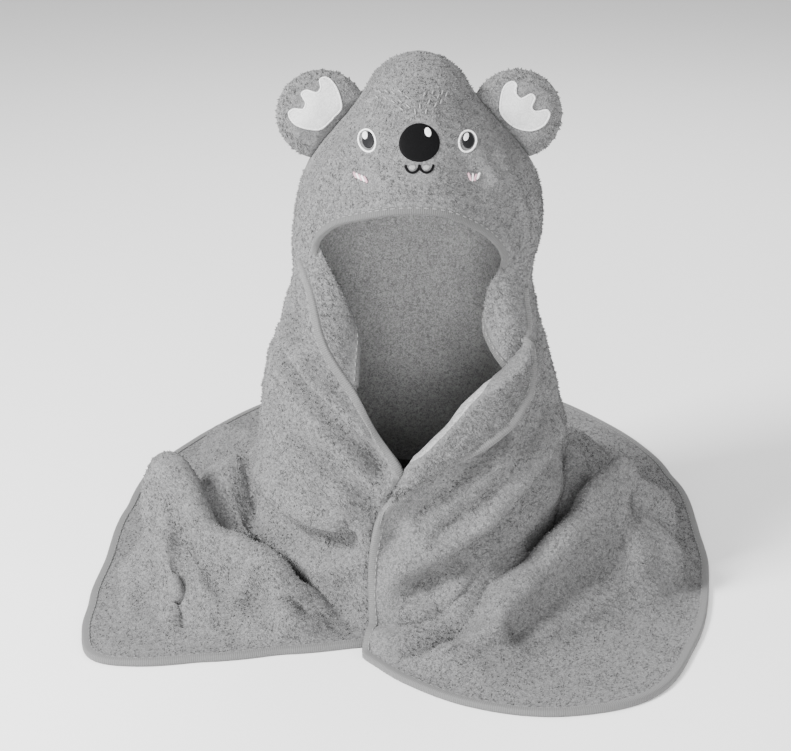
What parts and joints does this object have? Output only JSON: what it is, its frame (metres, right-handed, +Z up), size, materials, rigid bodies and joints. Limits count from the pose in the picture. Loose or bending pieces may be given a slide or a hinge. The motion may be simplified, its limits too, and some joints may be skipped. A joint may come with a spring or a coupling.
{
  "type": "hooded baby towel",
  "caption": "Square plush hooded baby towel with a koala face, worn and wrapped over a sitting shape, with bound edges and stuffed ears that flop.",
  "frame": {"origin": "on the floor, under the middle of the object's bounding box", "axes": "+Z up, the face opening looks along -Y, +Y runs back along the train, +X to the wearer's left"},
  "size_m": [0.5096, 0.717, 0.437],
  "materials": {
    "plush": "grey coral fleece with a short mottled pile",
    "tape": "smooth grey binding tape with fine cross ribs",
    "patch": "smooth light grey short-nap fabric",
    "black_thread": "satin-stitched black thread",
    "white_thread": "satin-stitched white thread",
    "grey_thread": "satin-stitched dark grey thread",
    "pink_thread": "pink and white satin stitches",
    "filling": "loose white polyester fibre"
  },
  "bodies": {
    "towel": {"cheek_left": "pink_thread", "cheek_right": "pink_thread", "edge_binding_hem": "tape", "edge_binding_left": "tape", "edge_binding_right": "tape", "eye_left_glint": "white_thread", "eye_left_iris": "grey_thread", "eye_left_white": "white_thread", "eye_right_glint": "white_thread", "eye_right_iris": "grey_thread", "eye_right_white": "white_thread", "hood_panel": "plush", "hood_rim_binding": "tape", "mouth": "black_thread", "muzzle_left": "patch", "muzzle_right": "patch", "nose": "black_thread", "nose_glint": "white_thread", "towel_sheet": "plush"},
    "ear_left": {"ear_left_back": "plush", "ear_left_filling": "filling", "ear_left_front": "plush", "ear_left_patch": "patch"},
    "ear_right": {"ear_right_back": "plush", "ear_right_filling": "filling", "ear_right_front": "plush", "ear_right_patch": "patch"}
  },
  "joints": [
    {"name": "ear_left_flop", "type": "hinge", "parent": "towel", "child": "ear_left", "pos_m": [-0.05472, -0.11314, 0.37829], "axis": [0.6457, 0, 0.7635], "range_deg": [-35, 35], "stiffness_Nm_per_rad": 0.02},
    {"name": "ear_right_flop", "type": "hinge", "parent": "towel", "child": "ear_right", "pos_m": [0.07509, -0.11314, 0.37829], "axis": [-0.6785, 0, 0.7346], "range_deg": [-35, 35], "stiffness_Nm_per_rad": 0.02}
  ]
}
